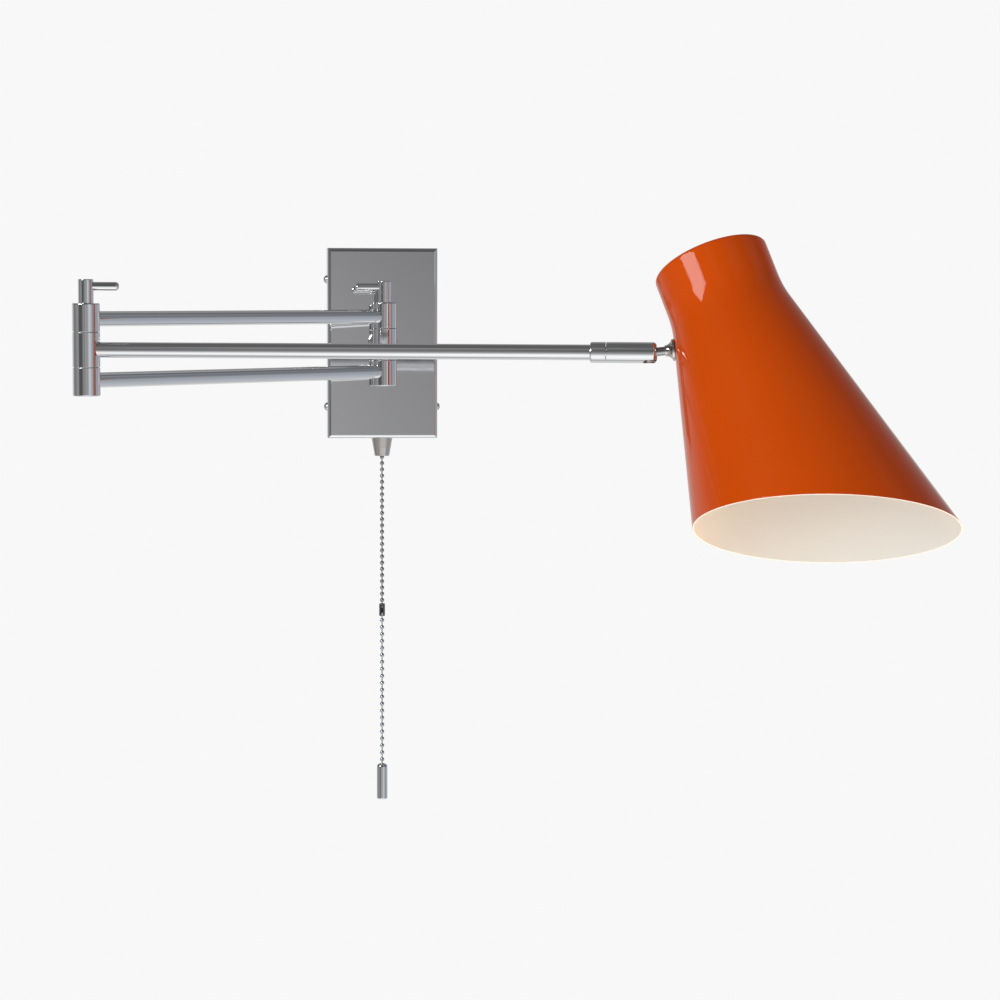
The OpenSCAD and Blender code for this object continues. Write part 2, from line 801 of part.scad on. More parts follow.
// Half the outline of the shade's blank, drawn in by a wall thickness
module blank_outline(inset) {
  r = flare_r + inset;
  neck_r = top_r - inset;
  join_x = flare_x - r * cos(cone_angle);
  join_s = neck_len + r * sin(cone_angle);
  end_x = join_x + (blank_len - join_s) * tan(cone_angle);
  difference() {
    // Neck, the flare's chord and the cone
    polygon([
      [0, -inset], [neck_r, -inset], [neck_r, -neck_len],
      [join_x, -join_s], [end_x, -blank_len], [0, -blank_len]
    ]);
    // Rounded edge of the top
    translate([top_r - top_edge_r, -top_edge_r]) corner_cut(top_edge_r - inset);
    // Hollow of the flare
    translate([flare_x, -neck_len]) circle(r = r, $fn = 360);
  }
}

module shade()
  color(orange)
    difference() {
      at_shade()
        difference() {
          rotate_extrude($fn = 180)
            difference() {
              blank_outline(0);
              blank_outline(shade_t);
            }
          // Oblique cut of the mouth, longer away from the arm
          translate([0, 0, -shade_len])
            rotate([0, mouth_angle, 0])
              translate([-blank_len, -blank_len, -2 * blank_len])
                cube([2 * blank_len, 2 * blank_len, 2 * blank_len]);
        }
      // Hole for the stem
      at_grip()
        translate([-over, 0, 0])
          along_x() cylinder(d = stem_d + 2 * spindle_fit, h = shade_t + 3 * over);
    }

// Bent strip: one leg along the shade's wall under the nut, one leg across the axis
module holder_bracket() {
  t = holder_bracket_t;
  color(zinc)
    difference() {
      union() {
        at_grip()
          translate([strip_x, -holder_bracket_w / 2, -grip_strip_down])
            cube([t, holder_bracket_w, grip_strip_down + grip_strip_up]);
        at_shade()
          translate([-grip_r + grip_strip_up * sin(cone_angle) + strip_x, -holder_bracket_w / 2, -holder_drop - t])
            cube([grip_r - grip_strip_up * sin(cone_angle) - strip_x + holder_bracket_w / 2, holder_bracket_w, t]);
      }
      at_grip()
        along_x() cylinder(d = stem_d + 2 * spindle_fit, h = strip_x + t + over);
      at_shade()
        translate([0, 0, -holder_drop - t - over]) cylinder(d = nipple_d + 2 * seat_fit, h = t + 2 * over);
    }
}

module holder_nut()
  color(zinc)
    at_shade()
      translate([0, 0, -holder_drop])
        hex_nut(nut_across - 2, holder_nut_t, nipple_d + 2 * seat_fit);

module lampholder()
  color(white_plastic)
    at_shade()
      difference() {
        union() {
          // Threaded nipple through the bracket
          translate([0, 0, -holder_top_s - over]) cylinder(d = nipple_d, h = nipple_len + over);
          // Rounded cap
          translate([0, 0, -holder_top_s - holder_cap_h])
            bar(holder_cap_d / 2, holder_cap_h, top_r = 6);
          // Skirt
          translate([0, 0, -holder_mouth_s])
            bar(holder_d / 2, holder_h - holder_cap_h, 1.5, 1);
        }
        // Screw shell's well
        translate([0, 0, -holder_mouth_s - over])
          cylinder(d = bulb_cap_d + 2 * free_gap, h = bulb_cap_len + free_gap + 1.5 * over);
        // Way for the wires
        translate([0, 0, -holder_mouth_s])
          cylinder(d = nipple_d - 3, h = holder_h + nipple_len + over);
      }

module bulb_cap()
  color(zinc)
    at_shade()
      translate([0, 0, -holder_mouth_s]) {
        cylinder(d = bulb_cap_d, h = bulb_cap_len - bulb_taper_h);
        translate([0, 0, bulb_cap_len - bulb_taper_h])
          cylinder(d1 = bulb_cap_d - bulb_taper_step, d2 = bulb_contact_d, h = bulb_taper_h);
      }

// The bulb's solid shape downwards from its neck, drawn in by a wall thickness
module bulb_shape(inset) {
  globe_r = bulb_d / 2 - inset;
  globe_s = bulb_glass_len - bulb_d / 2;
  neck_r = bulb_neck_r - inset;
  join_r = globe_r - bulb_join_depth;
  join_s = globe_s - join_r * sin(bulb_join_angle);
  translate([0, 0, -globe_s]) sphere(r = globe_r);
  translate([0, 0, -join_s])
    cylinder(r1 = join_r * cos(bulb_join_angle), r2 = neck_r, h = join_s - bulb_neck_h);
  translate([0, 0, -bulb_neck_h]) cylinder(r = neck_r, h = bulb_neck_h - inset);
}

module bulb_glass()
  color([1, 1, 0.95, 0.6])
    at_shade()
      translate([0, 0, -holder_mouth_s])
        difference() {
          bulb_shape(0);
          bulb_shape(glass_t);
        }

// Pull switch and chain

module pull_switch()
  color(black_plastic)
    difference() {
      union() {
        translate([-switch_w / 2, -pull_y - switch_depth / 2, switch_bottom_z])
          cube([switch_w, switch_depth, switch_h]);
        at_chain(-cover_h / 2 - switch_neck_len)
          cylinder(d = switch_neck_d, h = switch_neck_len + cover_t + over);
      }
      at_chain(-cover_h / 2 - switch_neck_len - over)
        cylinder(d = chain_bore, h = plunger_z + cover_h / 2);
      // Barrel of the plunger
      at_chain(plunger_z - pull_travel - free_gap)
        cylinder(d = plunger_d + 2 * spindle_fit, h = plunger_h + pull_travel + 2 * free_gap);
    }

module chain_nozzle()
  color(satin)
    at_chain(nozzle_mouth_z + nozzle_tip_h)
      difference() {
        cylinder(d1 = nozzle_tip_d, d2 = nozzle_d, h = nozzle_h - nozzle_tip_h);
        // Seat of the switch's neck, and the hole in the floor for the tip
        translate([0, 0, nozzle_floor_t])
          cylinder(d = switch_neck_d + 2 * seat_fit, h = nozzle_h - nozzle_tip_h);
        translate([0, 0, -over]) cylinder(d = tip_spigot_d + 2 * seat_fit, h = nozzle_floor_t + 2 * over);
      }

// Lower end of the nozzle, with a bell mouth for the chain and a spigot in the nozzle's floor
module nozzle_tip()
  color(chrome)
    at_chain(nozzle_mouth_z)
      difference() {
        union() {
          cylinder(d1 = nozzle_mouth_d, d2 = nozzle_tip_d, h = nozzle_tip_h);
          cylinder(d = tip_spigot_d, h = nozzle_tip_h + nozzle_floor_t);
        }
        translate([0, 0, -over]) cylinder(d = chain_bore, h = nozzle_h);
        cylinder(d1 = bell_d, d2 = chain_bore, h = bell_h);
      }

module switch_plunger() color(white_plastic) at_chain(plunger_z) cylinder(d = plunger_d, h = plunger_h);

// Beads and the wire between them, hanging from height 0: beads first to last, wire from start down
module bead_row(first, last, start, pitch = bead_pitch)
  rotate_extrude()
    intersection() {
      union() {
        for (i = [first:last]) translate([0, -i * pitch]) circle(r = bead_r, $fn = 24);
        translate([0, -last * pitch]) square([link_d / 2, last * pitch - start]);
      }
      translate([0, -last * pitch - bead_r]) square([bead_d, (last - first) * pitch + 2 * bead_d]);
    }

module chain_lead() color(chrome) at_chain(plunger_z) bead_row(1, lead_beads, 0);

module chain_upper() color(chrome) at_chain() bead_row(1, upper_beads, bead_r + bead_fit);

module chain_coupling()
  color(chrome)
    at_chain(coupling_top_z - coupling_h)
      difference() {
        bar(coupling_d / 2, coupling_h, 0.6, 0.6);
        // Chamber of the two end beads, and the opening through the lips that hold them
        translate([0, 0, lip_t]) cylinder(r = bead_chamber_r, h = coupling_h - 2 * lip_t);
        translate([0, 0, -over]) cylinder(r = lip_r, h = coupling_h + 2 * over);
        // Seam through which the chains are put in
        translate([-coupling_seam_w / 2, -coupling_d, -over])
          cube([coupling_seam_w, coupling_d, coupling_h + 2 * over]);
      }

module chain_lower() color(chrome) at_chain(tail_z) bead_row(0, lower_beads, 0, tail_pitch);

module chain_bob()
  color(chrome)
    at_chain(bob_top_z - bob_h)
      difference() {
        bar(bob_d / 2, bob_h, bob_top_r, bob_foot_r);
        // Chamber of the chain's last bead, and the opening through the lip that holds it
        translate([0, 0, bob_h - lip_t - 2 * (bead_r + bead_fit)])
          cylinder(r = bead_chamber_r, h = 2 * (bead_r + bead_fit));
        translate([0, 0, bob_h - bead_cover]) cylinder(r = lip_r, h = bead_cover + over);
      }

wall_bracket();
wall_cover();
side_screws();
cable_grommet();
terminal_block();
stiffener();
arm_stub();
stub_rosette();
stub_nut();
wall_centre_knuckle();
pull_switch();
chain_nozzle();
nozzle_tip();
upper_arm_tube();
lower_arm_tube();
wall_upper_knuckle();
wall_lower_knuckle();
elbow_upper_knuckle();
elbow_lower_knuckle();
wall_spindle();
elbow_spindle();
arm_washers();
wall_clamp_cap();
wall_clamp_lever();
elbow_clamp_cap();
elbow_clamp_lever();
elbow_centre_knuckle();
outer_arm_tube();
socket_collar();
ball_socket();
ball_seat();
ball_stem();
cone_washer();
shade();
stem_nut();
holder_bracket();
holder_nut();
lampholder();
bulb_cap();
bulb_glass();
switch_plunger();
chain_lead();
chain_upper();
chain_coupling();
chain_lower();
chain_bob();
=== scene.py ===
# %% [markdown]
# # A swivel wall light
# The light hangs on a wall: a folded chrome cover, two swing arms on clamped posts, a ball joint, an orange
# spun shade and a pull chain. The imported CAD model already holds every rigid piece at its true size. Blender
# adds what the CAD can't: the finishes, the studio around it, and the pieces whose surface needs more care.

# %% Load the frame
from math import cos, degrees, pi, radians, sin, tan

import bmesh
import bpy
import numpy as np
from mathutils import Matrix, Vector
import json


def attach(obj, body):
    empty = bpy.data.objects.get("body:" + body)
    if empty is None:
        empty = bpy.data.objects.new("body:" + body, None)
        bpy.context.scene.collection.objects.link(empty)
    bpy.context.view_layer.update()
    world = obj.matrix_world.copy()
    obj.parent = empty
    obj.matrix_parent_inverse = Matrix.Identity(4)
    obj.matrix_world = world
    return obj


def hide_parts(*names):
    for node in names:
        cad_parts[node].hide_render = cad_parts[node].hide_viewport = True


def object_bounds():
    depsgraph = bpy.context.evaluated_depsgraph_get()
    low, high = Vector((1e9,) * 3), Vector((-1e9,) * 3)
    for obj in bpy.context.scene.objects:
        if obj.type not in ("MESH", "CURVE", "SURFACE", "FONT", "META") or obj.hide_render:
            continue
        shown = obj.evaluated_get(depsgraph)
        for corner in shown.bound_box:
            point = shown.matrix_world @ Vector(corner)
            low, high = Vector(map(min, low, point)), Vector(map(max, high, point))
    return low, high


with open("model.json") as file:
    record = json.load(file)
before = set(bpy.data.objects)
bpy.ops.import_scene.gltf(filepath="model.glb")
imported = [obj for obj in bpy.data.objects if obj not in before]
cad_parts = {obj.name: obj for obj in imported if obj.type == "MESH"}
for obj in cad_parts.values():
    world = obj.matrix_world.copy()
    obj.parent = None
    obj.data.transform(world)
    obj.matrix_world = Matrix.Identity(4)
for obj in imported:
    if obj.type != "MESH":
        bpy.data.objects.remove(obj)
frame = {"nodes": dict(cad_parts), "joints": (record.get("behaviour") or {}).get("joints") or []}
cad_low, cad_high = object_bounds()
MM = 0.001
nodes = frame["nodes"]
print("CAD box:", [round(c, 3) for c in cad_low], [round(c, 3) for c in cad_high])

# %% [markdown]
# ## Camera
# The picture was taken from almost straight ahead, a little above the arm and two metres away, with a long
# lens. A long lens far away keeps the cover nearly square and the arm nearly straight, as the picture shows.

# %% Camera
camera_place = Vector((-99.4, -2035.3, 39.6)) * MM
camera_yaw, camera_pitch, camera_roll = radians(5.3), radians(-4.41), radians(0.16)
lens_mm, sensor_mm = 98.09, 36.0


def camera_matrix(place, yaw, pitch, roll):
    """Looks along +Y at zero angles: yaw turns right, pitch upwards, roll clockwise in the picture."""
    forward = Vector((sin(yaw) * cos(pitch), cos(yaw) * cos(pitch), sin(pitch)))
    level = Vector((cos(yaw), -sin(yaw), 0))
    upright = level.cross(forward)
    right = cos(roll) * level + sin(roll) * upright
    up = cos(roll) * upright - sin(roll) * level
    turn = Matrix((right, up, -forward)).transposed().to_4x4()
    return Matrix.Translation(place) @ turn


camera_data = bpy.data.cameras.new("camera")
camera_data.lens = lens_mm
camera_data.sensor_width = sensor_mm
camera = bpy.data.objects.new("camera", camera_data)
camera.matrix_world = camera_matrix(camera_place, camera_yaw, camera_pitch, camera_roll)
scene = bpy.context.scene
scene.collection.objects.link(camera)
scene.camera = camera
scene.view_settings.view_transform = "Standard"
print(f"camera {-camera_place.y:.2f} m in front of the wall, {lens_mm:.0f} mm lens")

# %% [markdown]
# ## Nodes
# A shader is a graph of nodes. Most of the code for one would be the same few steps: make a node, then link
# or set its sockets. So those steps are functions, and a graph reads like a formula.

# %% Helpers for nodes
# A Mix node has sockets for every kind of data: these are its share and two colours, and the mixed colour.
mix_inputs, mix_output = (0, 6, 7), 2


def feed(tree, socket, value):
    """Links a value that is a socket and sets any other: a colour socket takes three numbers or one grey."""
    if isinstance(value, bpy.types.NodeSocket):
        tree.links.new(value, socket)
    elif socket.type == "RGBA":
        socket.default_value = (*value, 1) if isinstance(value, tuple) else (value, value, value, 1)
    else:
        socket.default_value = value


def add_node(tree, kind, *values, **settings):
    """A node whose first inputs take the values in turn; gives its first output."""
    node = tree.nodes.new("ShaderNode" + kind)
    for name, setting in settings.items():
        setattr(node, name, setting)
    for socket, value in zip(node.inputs, values):
        feed(tree, socket, value)
    return node.outputs[0]


def mix(tree, share, first, second, blend="MIX"):
    """first where share is 0, second where it is 1; each is a colour socket, a colour or a grey."""
    node = tree.nodes.new("ShaderNodeMix")
    node.data_type = "RGBA"
    node.blend_type = blend
    for place, value in zip(mix_inputs, (share, first, second)):
        feed(tree, node.inputs[place], value)
    return node.outputs[mix_output]


def times(tree, first, second):
    """The product of two colour sockets."""
    return mix(tree, 1, first, second, "MULTIPLY")


def split_xyz(tree, vector):
    """The three numbers of a vector socket."""
    node = tree.nodes.new("ShaderNodeSeparateXYZ")
    tree.links.new(vector, node.inputs[0])
    return node.outputs


print("node helpers ready")

# %% Helpers for ranges


def rescale(tree, value, start, end, low=0.0, high=1.0, kind="LINEAR"):
    """value from start to end becomes low to high and stays there beyond; start may lie above end."""
    node = tree.nodes.new("ShaderNodeMapRange")
    node.interpolation_type = kind
    for name, number in (("From Min", start), ("From Max", end), ("To Min", low), ("To Max", high)):
        node.inputs[name].default_value = number
    tree.links.new(value, node.inputs["Value"])
    return node.outputs["Result"]


def smooth_step(tree, value, start, end):
    """0 before start, 1 after end, smooth between them."""
    return rescale(tree, value, start, end, kind="SMOOTHSTEP")


def ramp(tree, angle, stops):
    """A grey that depends on an angle: each stop is an angle and a grey, and it eases from stop to stop."""
    low, high = stops[0][0], stops[-1][0]
    node = tree.nodes.new("ShaderNodeValToRGB")
    node.color_ramp.interpolation = "EASE"
    elements = node.color_ramp.elements
    while len(elements) < len(stops):
        elements.new(0.5)
    for element, (place, grey) in zip(elements, stops):
        element.position = (place - low) / (high - low)
        element.color = (grey, grey, grey, 1)
    tree.links.new(rescale(tree, angle, low, high), node.inputs["Fac"])
    return node.outputs["Color"]


print("range helpers ready")

# %% [markdown]
# ## The studio
# Chrome shows nothing of itself: it shows the room. So the room is the finish. The world is written as
# brightness against direction. The lower half is a bright table, the wall behind is pale near the horizon,
# and the upper half in front is a dim studio with grey stretches, screens and a panel under an even ceiling.
# The camera itself sees a plain pale background. Glossy and diffuse rays both see the room, so one room
# lights the metal and the enamel.
#
# Azimuth is 0 towards the viewer and 90 to the right, elevation is above the horizon, both in degrees. In
# the tables each pair is an angle and a value.

# %% Brightness of the room by direction
# What the camera sees behind the light
background_grey = 0.939
# Brightness at the horizon, and the share of it that is left at each elevation
band_by_azimuth = [
    (-180, 0.66), (-155, 0.45), (-117, 0.17), (-92, 0.26), (-71, 0.34), (-53, 0.10), (-36, 0.10),
    (-19, 0.30), (-9, 0.26), (0, 0.42), (5, 0.32), (13, 0.37), (30, 0.70), (47, 0.50), (65, 0.25),
    (86, 0.42), (111, 0.38), (135, 0.55), (155, 0.75), (180, 0.66),
]
dimming_by_elevation = [
    (0, 1.0), (12, 0.53), (24, 0.38), (37, 0.57), (50, 0.70), (64, 0.63), (78, 0.53), (90, 0.5),
]
# Another share, well above the horizon: pale screens on both sides, a dark panel ahead
panel_by_azimuth = [
    (-180, 1.0), (-75, 1.0), (-52, 2.5), (-30, 2.5), (-14, 1.0), (-5, 0.45), (6, 0.45), (16, 1.0), (40, 1.0),
    (66, 0.6), (76, 0.7), (88, 1.3), (101, 1.2), (113, 0.6), (125, 0.6), (150, 1.0), (180, 1.0),
]
panel_starts, panel_full = 7.0, 18.0
# The ceiling's brightness, and the elevations between which it takes over
overhead, overhead_starts, overhead_full = 0.13, 40.0, 62.0
# The table below the horizon: its brightness, the share left at each elevation, and where it takes over
table_by_azimuth = [
    (-180, 0.8), (-110, 0.45), (-60, 0.7), (-28, 1.2), (0, 1.3), (40, 1.0), (80, 0.55), (130, 0.6),
    (180, 0.8),
]
table_by_elevation = [(-90, 0.78), (-64, 0.90), (-47, 1.0), (0, 1.0)]
table_starts, table_full = -1.0, -47.0
# The wall behind, which takes over as a direction's Y goes from the first number to the second
wall_by_elevation = [(0, 0.68), (6, 0.50), (12, 0.36), (30, 0.32), (50, 0.28), (70, 0.24), (90, 0.2)]
wall_starts, wall_full = 0.3, 0.85
# The right side is a little bluer, and diffuse rays see the room a little brighter.
blue_by_azimuth = [(-180, 0.0), (20, 0.0), (60, 1.0), (110, 1.0), (150, 0.0), (180, 0.0)]
cool_side = (0.94, 0.99, 1.08)
diffuse_gain = 1.07
print(len(band_by_azimuth), "stretches round the horizon")

# %% Build the room


def room_colour(tree):
    """Colour by direction: the azimuth's band, dimmed upwards, then the ceiling, the wall and the table."""
    x, y, z = split_xyz(tree, add_node(tree, "TexCoord"))
    azimuth = add_node(tree, "Math", x, add_node(tree, "Math", y, -1.0, operation="MULTIPLY"),
                       operation="ARCTAN2")
    azimuth = add_node(tree, "Math", azimuth, operation="DEGREES")
    elevation = add_node(tree, "Math", add_node(tree, "Math", z, operation="ARCSINE"), operation="DEGREES")
    is_panel = smooth_step(tree, elevation, panel_starts, panel_full)
    panel = mix(tree, is_panel, 1.0, ramp(tree, azimuth, panel_by_azimuth))
    band = times(tree, ramp(tree, azimuth, band_by_azimuth), panel)
    dimmed = times(tree, band, ramp(tree, elevation, dimming_by_elevation))
    upper = mix(tree, smooth_step(tree, elevation, overhead_starts, overhead_full), dimmed, overhead)
    is_wall = smooth_step(tree, y, wall_starts, wall_full)
    room = mix(tree, is_wall, upper, ramp(tree, elevation, wall_by_elevation))
    table = times(tree, ramp(tree, azimuth, table_by_azimuth), ramp(tree, elevation, table_by_elevation))
    room = mix(tree, smooth_step(tree, elevation, table_starts, table_full), room, table)
    tint = mix(tree, ramp(tree, azimuth, blue_by_azimuth), (1, 1, 1), cool_side)
    return times(tree, room, tint)


def build_room():
    """The world: the room, except to the camera and through glass, where it is plain grey."""
    world = bpy.data.worlds.new("room")
    scene.world = world
    world.use_nodes = True
    tree = world.node_tree
    tree.nodes.clear()
    rays = tree.nodes.new("ShaderNodeLightPath").outputs
    plain = add_node(tree, "Math", rays["Is Camera Ray"], rays["Is Transmission Ray"], operation="MAXIMUM")
    seen = mix(tree, plain, room_colour(tree), background_grey)
    gain = add_node(tree, "Math", rays["Is Diffuse Ray"], diffuse_gain - 1, 1.0, operation="MULTIPLY_ADD")
    output = tree.nodes.new("ShaderNodeOutputWorld")
    tree.links.new(add_node(tree, "Background", seen, gain), output.inputs["Surface"])
    return world


room = build_room()
print("room:", len(room.node_tree.nodes), "nodes")

# %% [markdown]
# ## Lamps
# One window stands high on the left. The enamel shows it as a slanted patch near the top of the shade, and
# its place was worked out by reflecting that patch off the shade's round neck. It is seen only in
# reflections. A larger soft lamp on the same side lights the paint, a weaker one behind on the right keeps
# the far edge from going dark, and a warm one from below on the right lights the shade's inside.

# %% Lamps
shade_middle = Vector((0.215, -0.33, 0.0))


def direction_of(azimuth, elevation):
    """Unit vector: azimuth 0 is towards the viewer and 90 to the right, elevation is above the horizon."""
    a, e = radians(azimuth), radians(elevation)
    return Vector((sin(a) * cos(e), -cos(a) * cos(e), sin(e)))


def softbox(name, azimuth, elevation, distance, width, height, radiance, colour=(1, 1, 1), mirrored=False):
    """A rectangle of even brightness that faces the shade: a mirrored one is seen only in reflections.

    Power is radiance times pi times the area."""
    data = bpy.data.lights.new(name, "AREA")
    data.shape = "RECTANGLE"
    data.size, data.size_y = width, height
    data.energy = radiance * pi * width * height
    data.color = colour
    lamp = bpy.data.objects.new(name, data)
    scene.collection.objects.link(lamp)
    away = direction_of(azimuth, elevation)
    lamp.location = shade_middle + away * distance
    lamp.rotation_mode = "QUATERNION"
    lamp.rotation_quaternion = away.to_track_quat("Z", "Y")
    lamp.visible_camera = False
    lamp.visible_glossy = mirrored
    lamp.visible_diffuse = not mirrored
    print(f"{name}: {data.energy:.1f} W")


softbox("window", azimuth=-64, elevation=22.6, distance=1.6, width=0.72, height=0.42, radiance=12.0,
        mirrored=True)
softbox("key_lamp", azimuth=-42, elevation=14, distance=2.0, width=1.4, height=1.2, radiance=5.9,
        colour=(1.0, 1.05, 0.98))
softbox("side_fill", azimuth=130, elevation=5, distance=2.0, width=1.0, height=1.0, radiance=4.0,
        colour=(1.0, 0.82, 0.72))
softbox("warm_fill", azimuth=80, elevation=-60, distance=1.5, width=0.9, height=0.9, radiance=10.5,
        colour=(1.0, 0.64, 0.32))

# %% [markdown]
# ## Floor
# A plain pale floor far below the light. Near the light it is a real surface that can hold a soft shadow.
# Further out it fades to the background's grey, so that no horizon shows. A little glow of its own keeps it
# pale, and it is clear from below.

# %% Floor
floor_z = cad_low.z - 0.25
floor_size, floor_shown, floor_gone = 8.0, 0.30, 0.50
floor_grey, floor_glow = 0.86, 0.34
floor_middle = Vector((0.06, -0.24, 0))


def floor_material():
    """Matt near the middle, the background's grey far from it, clear from below."""
    material = bpy.data.materials.new("floor_pale")
    material.use_nodes = True
    tree = material.node_tree
    tree.nodes.clear()
    place = tree.nodes.new("ShaderNodeTexCoord").outputs["Object"]
    flat = add_node(tree, "VectorMath", place, (1, 1, 0), -floor_middle, operation="MULTIPLY_ADD")
    length = tree.nodes.new("ShaderNodeVectorMath")
    length.operation = "LENGTH"
    tree.links.new(flat, length.inputs[0])
    fade = smooth_step(tree, length.outputs["Value"], floor_shown, floor_gone)
    rays = tree.nodes.new("ShaderNodeLightPath").outputs
    is_plain = add_node(tree, "Math", fade, rays["Is Camera Ray"], operation="MULTIPLY")
    is_below = tree.nodes.new("ShaderNodeNewGeometry").outputs["Backfacing"]
    matt = add_node(tree, "BsdfDiffuse", floor_grey)
    pale = add_node(tree, "AddShader", matt, add_node(tree, "Emission", 1.0, floor_glow))
    above = add_node(tree, "MixShader", is_plain, pale, add_node(tree, "Emission", background_grey))
    whole = add_node(tree, "MixShader", is_below, above, add_node(tree, "BsdfTransparent"))
    output = tree.nodes.new("ShaderNodeOutputMaterial")
    tree.links.new(whole, output.inputs["Surface"])
    return material


def build_floor():
    """A square that only the camera sees, so that it neither lights the pieces nor shows in the chrome."""
    half = floor_size / 2
    corners = [(-half, -half, floor_z), (half, -half, floor_z), (half, half, floor_z), (-half, half, floor_z)]
    mesh = bpy.data.meshes.new("floor")
    mesh.from_pydata(corners, [], [(0, 1, 2, 3)])
    floor = bpy.data.objects.new("floor", mesh)
    scene.collection.objects.link(floor)
    mesh.materials.append(floor_material())
    for rays in ("glossy", "diffuse", "transmission", "shadow"):
        setattr(floor, "visible_" + rays, False)


build_floor()
print(f"floor at {floor_z:.3f} m")

# %% [markdown]
# ## Finishes
# Every finish is one Principled shader with its plain numbers set on it, and noise on Object coordinates
# only where the real surface varies: the chrome has faint smears and a slight ripple from the plating bath,
# the enamel has the skin of sprayed paint, the zinc has its spangle. The real cover leans a little, which
# shows in where it mirrors the arm, so its chrome leans the mirror image by a slope in the normal and the
# cover itself stays upright.

# %% Helpers for finishes


def start_finish(name, **values):
    """A material with one Principled shader, whose sockets take the values given by name."""
    material = bpy.data.materials.new(name)
    material.use_nodes = True
    tree = material.node_tree
    sockets = tree.nodes["Principled BSDF"].inputs
    for socket, value in values.items():
        feed(tree, sockets[socket.replace("_", " ")], value)
    return material, tree, sockets


def noise(tree, per_metre, detail, stretch=(1, 1, 1)):
    """Smooth noise on Object coordinates, with per_metre blobs to a metre before the stretch."""
    place = tree.nodes.new("ShaderNodeTexCoord").outputs["Object"]
    mapping = tree.nodes.new("ShaderNodeMapping")
    mapping.inputs["Scale"].default_value = stretch
    node = tree.nodes.new("ShaderNodeTexNoise")
    node.inputs["Scale"].default_value = per_metre
    node.inputs["Detail"].default_value = detail
    tree.links.new(place, mapping.inputs["Vector"])
    tree.links.new(mapping.outputs["Vector"], node.inputs["Vector"])
    return node.outputs["Fac"]


def spread(tree, noise_seen, low, high):
    """Noise lies mostly between 0.3 and 0.7: this spreads it from low to high."""
    return rescale(tree, noise_seen, 0.3, 0.7, low, high)


def drift(tree, first, second, per_metre, detail):
    """A colour that drifts between two in blobs."""
    return mix(tree, spread(tree, noise(tree, per_metre, detail), 0, 1), first, second)


def bump(tree, height, depth, after=None):
    """A normal for a relief of height times depth, in metres, laid over another normal if there is one."""
    node = tree.nodes.new("ShaderNodeBump")
    node.inputs["Strength"].default_value = 1.0
    node.inputs["Distance"].default_value = depth
    tree.links.new(height, node.inputs["Height"])
    if after is not None:
        tree.links.new(after, node.inputs["Normal"])
    return node.outputs["Normal"]


print("finish helpers ready")

# %% Plated metals
# The gloss is two roughnesses that the smears move between. The ripple is in metres, and a finer one on top
# of it has a share of its depth.
plate_colour, plate_gloss = (0.78, 0.785, 0.80), (0.035, 0.075)
bath_ripple = 0.00001
fine_share = 0.08


def plated_finish(name, colour, rough, ripple=bath_ripple, lean=0.0):
    """Plating: smears move the roughness between two values, ripple is the bath's waviness in metres.

    A lean in degrees tips the mirror image downwards, as on sheet that isn't quite upright."""
    material, tree, sockets = start_finish(name, Metallic=1.0, Base_Color=colour)
    smears = noise(tree, per_metre=38, detail=4.0, stretch=(1, 1, 0.5))
    feed(tree, sockets["Roughness"], spread(tree, smears, *rough))
    wavy = bump(tree, noise(tree, per_metre=60, detail=1.0), ripple)
    normal = bump(tree, noise(tree, per_metre=900, detail=2.0), ripple * fine_share, after=wavy)
    if lean:
        place = tree.nodes.new("ShaderNodeTexCoord").outputs["Object"]
        up = split_xyz(tree, place)["Z"]
        slope = add_node(tree, "Math", up, -tan(radians(lean)), operation="MULTIPLY")
        normal = bump(tree, slope, 1.0, after=normal)
    feed(tree, sockets["Normal"], normal)
    return material


chrome = plated_finish("chrome_plate", plate_colour, plate_gloss)
cover_chrome = plated_finish("chrome_cover", plate_colour, plate_gloss, lean=2.4)
# The bead nickel is the beads' own finish; on the ball's stem it is painted shade, for the shadow of the
# socket and the shade.
nickel = plated_finish("bead_nickel_and_stem_shade", (0.42, 0.41, 0.40), (0.12, 0.20))
dark_nickel = plated_finish("dark_nickel", (0.22, 0.215, 0.22), (0.14, 0.22))
steel = plated_finish("bead_steel", (0.56, 0.59, 0.63), (0.12, 0.20))
satin = plated_finish("satin_nickel", (0.60, 0.57, 0.54), (0.28, 0.38), ripple=2 * bath_ripple)
polished = plated_finish("polished_nickel", (0.62, 0.59, 0.57), (0.07, 0.13))
print("chrome, steel and four kinds of nickel")

# %% Zinc
zinc_dark, zinc_light, zinc_rough = (0.50, 0.53, 0.56), (0.64, 0.65, 0.64), (0.28, 0.44)
zinc_grain = 0.00003


def zinc_finish(cells_per_metre=260):
    """Zinc plate: a cell pattern a few millimetres wide tints the metal and changes its roughness."""
    material, tree, sockets = start_finish("zinc_plate", Metallic=1.0)
    cells = tree.nodes.new("ShaderNodeTexVoronoi")
    cells.inputs["Scale"].default_value = cells_per_metre
    tree.links.new(tree.nodes.new("ShaderNodeTexCoord").outputs["Object"], cells.inputs["Vector"])
    parts = tree.nodes.new("ShaderNodeSeparateColor")
    tree.links.new(cells.outputs["Color"], parts.inputs[0])
    feed(tree, sockets["Base Color"], mix(tree, parts.outputs[0], zinc_dark, zinc_light))
    feed(tree, sockets["Roughness"], rescale(tree, parts.outputs[1], 0, 1, *zinc_rough))
    feed(tree, sockets["Normal"], bump(tree, noise(tree, per_metre=1400, detail=3.0), zinc_grain))
    return material


zinc = zinc_finish()
print("zinc with its spangle")

# %% Plastics and glass


def moulded_finish(name, colour, second_colour, rough, grain):
    """Moulded plastic: a slight drift of colour and gloss, and a fine grain of a depth in metres."""
    material, tree, sockets = start_finish(name)
    feed(tree, sockets["Base Color"], drift(tree, colour, second_colour, per_metre=55, detail=3.0))
    feed(tree, sockets["Roughness"], spread(tree, noise(tree, per_metre=120, detail=3.0), *rough))
    feed(tree, sockets["Normal"], bump(tree, noise(tree, per_metre=2600, detail=2.0), grain))
    return material


